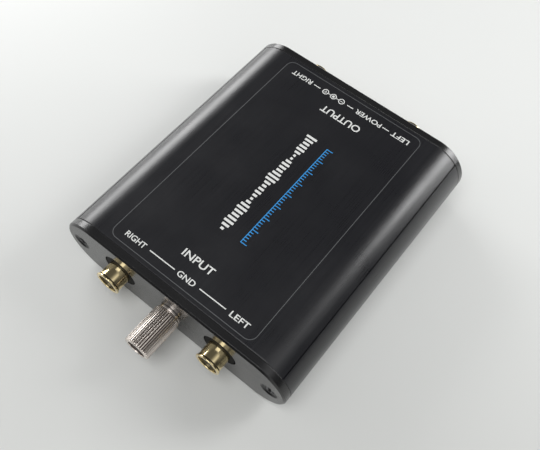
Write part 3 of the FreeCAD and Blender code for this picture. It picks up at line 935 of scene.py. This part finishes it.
# %% [markdown]
# ## The ground terminal
# A screw comes out through the front plate, and a long knurled nut turns on it over a washer. The
# thread is a radius that rises and falls with the place along the axis and the turn round it
# together, so that its crest climbs one pitch for each turn. It is a single grid.

# %% Screw and washer
thread_radius = 2.0
thread_pitch = 0.7
thread_depth = 0.38
flank_slope, flank_flat = 2.6, 0.15
run_out = 0.5
thread_start = -0.3
ground_head = 3.8
ground_head_thickness = 2.4
washer_radius, washer_bore = 4.2, 2.05


def threaded(start, end, around=48, per_turn=14):
    """Screw surface: the radius follows the phase, which is pitches along plus turns round.

    The thread keeps its full height up to a short run-out, where the radius falls to the root.
    """
    place = np.linspace(start, end, int((end - start) / thread_pitch * per_turn))[:, None]
    angle = angles(around)
    phase = (place / thread_pitch + angle / (2 * math.pi)) % 1
    height = np.clip(abs(phase - 0.5) * flank_slope - flank_flat, 0, 1)
    fade = np.clip((end - place) / run_out, 0, 1)
    radius = thread_radius - thread_depth * (1 - height) * fade - thread_depth * (1 - fade)
    return swept(radius, place, angle)


def ground_screw():
    """Head behind the plate, plain neck through it, thread outside it."""
    seat_face = -(measured("ground_star_washer")[1][1] + plate_face)
    back = seat_face - ground_head_thickness
    tip = -measured("ground_screw")[0][1] - plate_face
    cap = rounded([(0, back), (ground_head, back), (ground_head, seat_face), (thread_radius, seat_face),
                   (thread_radius, thread_start)], [0, 1.0, 0.15, 0, 0], steps=5, closed=False)
    close = turned([(thread_radius - thread_depth, tip), (0, tip)], 48)
    return closed_grid(np.concatenate([turned(cap, 48), threaded(thread_start, tip), close]))


def ground_washer():
    """Flat ring with rounded rims."""
    profile = rounded([(washer_bore, 0), (washer_radius, 0), (washer_radius, washer_face),
                       (washer_bore, washer_face)], [0.08, 0.15, 0.15, 0.08])
    return closed_grid(turned(looped(profile)))


for name, maker, finish, body, slot, crease in (
        ("threaded_ground_screw", ground_screw, steel, "case", "steel", 50),
        ("rounded_ground_washer", ground_washer, nickel, "ground_washer", "nickel", 30)):
    piece(name, [seated(maker(), 0, mid_height, FRONT)], finish, body, [maker.__name__], crease)

# %% [markdown]
# ### The thumb nut
# A toothed wheel presses straight knurling in: flat crests and narrow valleys, a radius that
# depends only on the turn. The ridges start past a plain collar and end in a chamfer. The far end
# is dished, and the near end is hollow for the screw.

# %% Make the thumb nut
ridges = 36
around_nut = ridges * 12
valley_slope, valley_flat = 4.2, 0.25
knurl_top = 4.65
knurl_depth = 0.3
knurl_root = knurl_top - knurl_depth
collar = 0.5
nut_chamfer = 0.3
end_round = 0.02
dish_radius, dish_depth = 3.3, 0.4
hollow_radius, mouth_radius, hollow_length = 2.05, 2.15, 10.7


def knurl(places, radii, depths):
    """Flat crests between valleys with smooth flanks, of a stated radius and depth at each place."""
    angle = angles(around_nut)
    phase = (angle * ridges / (2 * math.pi)) % 1
    crest = np.clip(abs(phase - 0.5) * valley_slope - valley_flat, 0, 1)
    crest = crest * crest * (3 - 2 * crest)
    place, radius, depth = (np.asarray(column, float)[:, None] for column in (places, radii, depths))
    return swept(radius - depth * (1 - crest), place, angle)


def thumb_nut():
    """Hollow, collar, ridges, chamfer and dish as one grid from pole to pole."""
    start, end = washer_face, nut_end
    ridge_start, chamfer_start = start + collar, end - nut_chamfer
    half_chamfer = nut_chamfer / 2
    rim = knurl_top - nut_chamfer
    places, radii, depths = zip(
        (ridge_start, knurl_root, 0), (ridge_start + 0.1, knurl_root + 0.2, 0.2),
        (ridge_start + 0.25, knurl_top, knurl_depth), (chamfer_start - 0.2, knurl_top, knurl_depth),
        (chamfer_start, knurl_top, knurl_depth),
        (end - half_chamfer, knurl_top - half_chamfer, knurl_depth - half_chamfer),
        (end - end_round, rim, 0))
    begin = turned([(mouth_radius, start), (knurl_root - 0.2, start), (knurl_root - 0.06, start + 0.05),
                    (knurl_root, start + 0.16), (knurl_root, ridge_start - 0.08),
                    (knurl_root - 0.08, ridge_start - 0.02)], around_nut)
    dish_floor = end - dish_depth
    dish = rounded([(rim, end - end_round), (rim - 0.03, end), (dish_radius, end),
                    (dish_radius, dish_floor), (0, dish_floor)], [0, 0, 0.08, 0.06, 0], closed=False)
    floor = start + hollow_length
    hollow = turned([(0, floor), (hollow_radius, floor - 0.2), (hollow_radius, start + 0.1),
                     (mouth_radius, start)], around_nut)
    ridged = knurl(places, radii, depths)
    return closed_grid(np.concatenate([hollow, begin, ridged, turned(dish, around_nut)]))


piece("knurled_thumb_nut", [seated(thumb_nut(), 0, mid_height, FRONT)], nut_nickel, body="thumb_nut",
      stands_for=["ground_thumb_nut"], crease=50)

# %% [markdown]
# ## The printing
# The top is screen printed: a thin frame line, the names of the sockets with bars between them,
# and a row of white bars with a blue scale along the middle. Ink stands a little more than a
# hundredth of a millimetre proud. Words come from text objects that are made into meshes, then
# stretched to the height and width of the real words. Lines and bars are outlines, lifted.

# %% Ink and its helpers
INK = 0.015
SUNK = 0.01
print_height = case_top - PRINT_ROOM


def ink_finish(name, color):
    """Matt ink with a fine grain and worn patches."""
    finish = Finish(name, color, 0.5)
    grain = finish.noise(0.06, detail=2.0)
    wear = finish.noise(0.8, detail=3.0)
    finish.set("Base Color", finish.blend(grain * 0.4 + wear * 0.6, shade(color, 0.78), color))
    finish.set("Roughness", 0.42 + grain * 0.2)
    finish.bump(grain, 0.004)
    return finish.material


white_ink = ink_finish("white_ink", (0.80, 0.81, 0.79))
grey_ink = ink_finish("grey_ink", (0.10, 0.104, 0.108))
blue_ink = ink_finish("blue_ink", (0.03, 0.30, 0.72))


def lifted(outline):
    """Closed shell of a flat outline in x and y, from just in the surface to the top of the ink."""
    points, faces = pierced(at_places(outline, (print_height - SUNK, print_height + INK)), [])
    return points[:, [0, 2, 1]], faces


def bar(x0, x1, y0, y1, radius=0.0):
    """Bar of ink, with rounded corners where it has a radius."""
    return lifted(rectangle(x0, x1, y0, y1, radius, 4))


def line_between(outer, inner):
    """Closed line of ink between two outlines in x and y with the same number of points."""
    heights = ((outer, -SUNK), (outer, INK), (inner, INK), (inner, -SUNK), (outer, -SUNK))
    return closed_grid([np.column_stack([outline, np.full(len(outline), print_height + z)])
                        for outline, z in heights])


def word(name, text, centre, size, turned_round, finish):
    """Word as a mesh, stretched to a width and cap height in millimetres and laid on the top."""
    curve = bpy.data.curves.new(name, "FONT")
    curve.body = text
    curve.size = 1.0
    curve.offset = 0.012
    curve.extrude = 0.5
    draft = in_scene(name + "_draft", curve)
    bpy.context.view_layer.update()
    mesh = bpy.data.meshes.new_from_object(draft)
    bpy.data.objects.remove(draft)
    points = np.zeros(len(mesh.vertices) * 3, np.float32)
    mesh.vertices.foreach_get("co", points)
    points = points.reshape(-1, 3)
    low, high = points.min(0), points.max(0)
    share = (points - low) / (high - low) - [0.5, 0.5, 0]
    flip = -1 if turned_round else 1
    placed = np.stack([centre[0] + flip * share[:, 0] * size[0],
                       centre[1] + flip * share[:, 1] * size[1],
                       print_height - SUNK + share[:, 2] * (INK + SUNK)], -1) * MM
    mesh.vertices.foreach_set("co", placed.astype(np.float32).ravel())
    mesh.name = name
    mesh.materials.clear()
    mesh.materials.append(finish)
    open_edges = cleaned(mesh, merge=1e-7)
    made = in_scene(name, mesh)
    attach(made, "case")
    print(name, "faces", len(mesh.polygons), "open edges", open_edges)


print("ink from", print_height, "to", print_height + INK)

# %% [markdown]
# The rear words are turned round, to be read from behind. Each has its middle, its foot line, its
# width and the height of its capitals.

# %% Print the words
small, title, large = 2.0, 2.65, 2.9
front_row, front_title = -43.0, -36.55
rear_row, rear_title = 42.5, 36.05
words = [("input_right", "RIGHT", -20.2, front_row, 8.0, small),
         ("ground", "GND", 0.5, front_row, 6.7, small),
         ("input_left", "LEFT", 21.3, front_row, 7.0, small),
         ("input", "INPUT", -0.3, front_title, 12.0, title),
         ("output_right", "RIGHT", -20.45, rear_row, 8.4, small),
         ("power", "POWER", 8.25, rear_row, 10.6, small),
         ("output_left", "LEFT", 21.45, rear_row, 6.9, small),
         ("output", "OUTPUT", 0.9, rear_title, 16.0, large)]
for name, text, x, y, width, height in words:
    word("label_" + name, text, (x, y), (width, height), y > 0, white_ink)

# %% [markdown]
# Bars lead from word to word. The polarity mark is three rings joined by short lines, with a plus,
# a dot for the plug's centre and a minus in them. The frame is a thin grey line.

# %% Print the lines
bar_half, link_half, sign_half, sign_reach = 0.17, 0.14, 0.13, 0.55
plus_place, dot_place, minus_place = -10.1, -6.7, -3.2
ring_outer, ring_inner, dot_radius = 1.2, 0.88, 0.5
frame_x, frame_y, frame_radius, frame_width = 28.5, 46.5, 2.9, 0.22


def rear_line(x0, x1, half):
    """Thin line along X on the rear row."""
    return bar(x0, x1, rear_row - half, rear_row + half)


bars = [bar(x0, x1, row - bar_half, row + bar_half) for x0, x1, row in
        ((-14.4, -4.2, front_row), (5.7, 16.0, front_row), (-15.2, -12.4, rear_row),
         (-0.8, 1.8, rear_row), (14.2, 16.9, rear_row))]
polarity = [line_between(circle(x, rear_row, ring_outer, 40), circle(x, rear_row, ring_inner, 40))
            for x in (plus_place, dot_place, minus_place)]
polarity += [rear_line(-8.9, -7.9, link_half), rear_line(-5.5, -4.4, link_half)]
for x in (plus_place, minus_place):
    polarity.append(rear_line(x - sign_reach, x + sign_reach, sign_half))
polarity += [rear_line(plus_place - sign_half, plus_place + sign_half, sign_reach),
             lifted(circle(dot_place, rear_row, dot_radius, 24))]
outer, inner = (rectangle(drawn - frame_x, frame_x - drawn, drawn - frame_y, frame_y - drawn,
                          frame_radius - drawn, 12) for drawn in (0, frame_width))
piece("printed_bars", bars, white_ink)
piece("printed_polarity", polarity, white_ink)
piece("printed_frame", [line_between(outer, inner)], grey_ink)

# %% [markdown]
# Along the middle runs a level row: white bars whose heights follow a slow wave, as on a level
# meter, and beside them a thin blue scale with a longer tick at every fifth place.

# %% Print the level row
bar_count = 30
row_length = 46.0
row_middle = -2.1
bar_radius = 0.2
tick_count = 41
spine_start, spine_end = 4.9, 5.2
long_tick, short_tick = 2.2, 1.2
place = np.linspace(-row_length / 2, row_length / 2, bar_count)
swell = 0.5 + 0.28 * np.sin(place * 0.33 + 0.6) + 0.22 * np.sin(place * 0.86)
reach = 0.7 + 3.7 * swell
middle = row_middle + 0.8 / row_length * place
level = [bar(x - h / 2, x + h / 2, y - 0.45, y + 0.45, bar_radius)
         for x, y, h in zip(middle, place, reach)]
piece("printed_level_row", level, white_ink)
ticks = [bar(spine_end, spine_end + (long_tick if index % 5 == 0 else short_tick), y - 0.16, y + 0.16)
         for index, y in enumerate(np.linspace(-23.0, 22.5, tick_count))]
ticks.append(bar(spine_start, spine_end, -23.2, 22.7))
piece("printed_scale", ticks, blue_ink)

# %% [markdown]
# ## Table, light and camera
# The table is pale and glossy, and in the light it gets brighter towards the back left. A large
# plane carries the shadow. Its colour paints that light in: a blend from a darker front to a lighter back
# left, with faint clouds.

# %% Table
table_half = 3.0


def table_finish():
    """Pale satin with painted light: darker at the front and lighter at the back, along one direction of
    the table.
    """
    finish = Finish("pale_table", (0.78, 0.79, 0.77), 0.4)
    cloud = finish.noise(60.0, detail=2.0)
    depth = finish.part("Y") * 0.77 - finish.part("X") * 0.64
    # painted light: the colour grows lighter towards the back left, as if lit more there, with faint
    # clouds
    painted_falloff_and_clouds = depth.step(-0.28, 0.08) + (cloud - 0.5) * 0.05
    finish.set("Base Color", finish.blend(painted_falloff_and_clouds, (0.50, 0.505, 0.485), (0.80, 0.81, 0.795)))
    return finish.material


table_mesh = bpy.data.meshes.new("table")
table_corners = [(x * table_half, y * table_half, 0) for x, y in ((-1, -1), (1, -1), (1, 1), (-1, 1))]
table_mesh.from_pydata(table_corners, [], [(0, 1, 2, 3)])
table_mesh.materials.append(table_finish())
table = in_scene("table", table_mesh)
print("table", table_half * 2, "m square")

# %% [markdown]
# Black anodising shows little but what it mirrors, so the world is even but for three dark places:
# above, which the flat top mirrors, low on the right for the lower shoulder, and low in front for
# the bevel. The camera itself sees plain white.

# %% World
class Sky(Nodes):
    """World whose brightness is a number for each direction."""

    def __init__(self, name):
        world = bpy.data.worlds.new(name)
        bpy.context.scene.world = world
        world.use_nodes = True
        super().__init__(world.node_tree)
        self.toward = self.add("TexCoord", {}, {}, "Generated")

    def near(self, direction, inner, outer):
        """1 within an angle of a direction, 0 beyond a larger one, both in degrees."""
        unit = Vector(direction).normalized()
        sockets = {0: self.toward, 1: tuple(unit)}
        along = self.add("VectorMath", {"operation": "DOT_PRODUCT"}, sockets, 1)
        return along.step(math.cos(math.radians(outer)), math.cos(math.radians(inner)))

    def shine(self, level, dark, bright):
        """Sets the level of light, seen as plain white by the camera."""
        background = self.tree.nodes["Background"]
        seen = self.add("LightPath", {}, {}, "Is Camera Ray")
        self.feed(background.inputs["Strength"], level * (1 - seen) + seen)
        self.feed(background.inputs["Color"], self.blend(level, dark, bright))


sky = Sky("studio")
over_top = sky.near((-0.28, 0.42, 0.86), 20, 55)
low_right = sky.near((0.90, 0.30, 0.06), 22, 48)
low_front = sky.near((-0.10, -0.90, 0.30), 18, 45)
dark = (1 - low_right * 0.95) * (1 - low_front * 0.9)
sky.shine((0.74 - over_top * 0.64) * dark, (0.97, 0.98, 1.0), (1.0, 1.0, 0.985))
print("world nodes", len(sky.tree.nodes))

# %% [markdown]
# A panel above the front lights the floor. Windows on the right and the left draw the highlights
# of the shoulders.

# %% Lamps
def soft_lamp(name, place, aim, size, power):
    """Rectangular lamp at a place in metres that faces a point."""
    lamp = bpy.data.lights.new(name, "AREA")
    lamp.shape = "RECTANGLE"
    lamp.size, lamp.size_y = size
    lamp.energy = power
    holder = in_scene(name, lamp)
    holder.location = place
    holder.rotation_euler = (Vector(aim) - Vector(place)).to_track_quat("-Z", "Y").to_euler()
    print(name, power, "W")


soft_lamp("ceiling_panel", (0.02, -0.28, 0.72), (0, 0.03, 0), (0.45, 0.45), 2.1)
soft_lamp("right_window", (0.34, 0.41, 0.33), (0.03, 0.03, 0.0), (0.17, 0.28), 1.35)
soft_lamp("low_right_window", (0.55, 0.57, 0.18), (0.03, 0.03, 0.0), (0.22, 0.14), 0.7)
soft_lamp("left_window", (-0.62, 0.26, 0.24), (0, 0, 0), (0.45, 0.3), 2.7)

# %% [markdown]
# The camera's place, axes and lens were solved from the photograph.

# %% Camera
camera_place = Vector((66.433, -97.870, 209.713)) * MM
camera_right = Vector((0.78241, 0.62142, 0.04095))
camera_up = Vector((-0.55901, 0.67181, 0.48598))
photo_width = 540
focal_pixels = 672.7
camera_data = bpy.data.cameras.new("camera")
camera_data.sensor_width = 36.0
camera_data.lens = focal_pixels / photo_width * camera_data.sensor_width
camera_data.clip_start = 0.01
camera_data.clip_end = 20.0
camera = in_scene("camera", camera_data)
facing = Matrix((camera_right, camera_up, camera_right.cross(camera_up))).transposed()
camera.matrix_world = Matrix.Translation(camera_place) @ facing.to_4x4()
bpy.context.scene.camera = camera
bpy.context.scene.view_settings.view_transform = "Standard"
print("camera at", tuple(round(c / MM, 1) for c in camera.location))
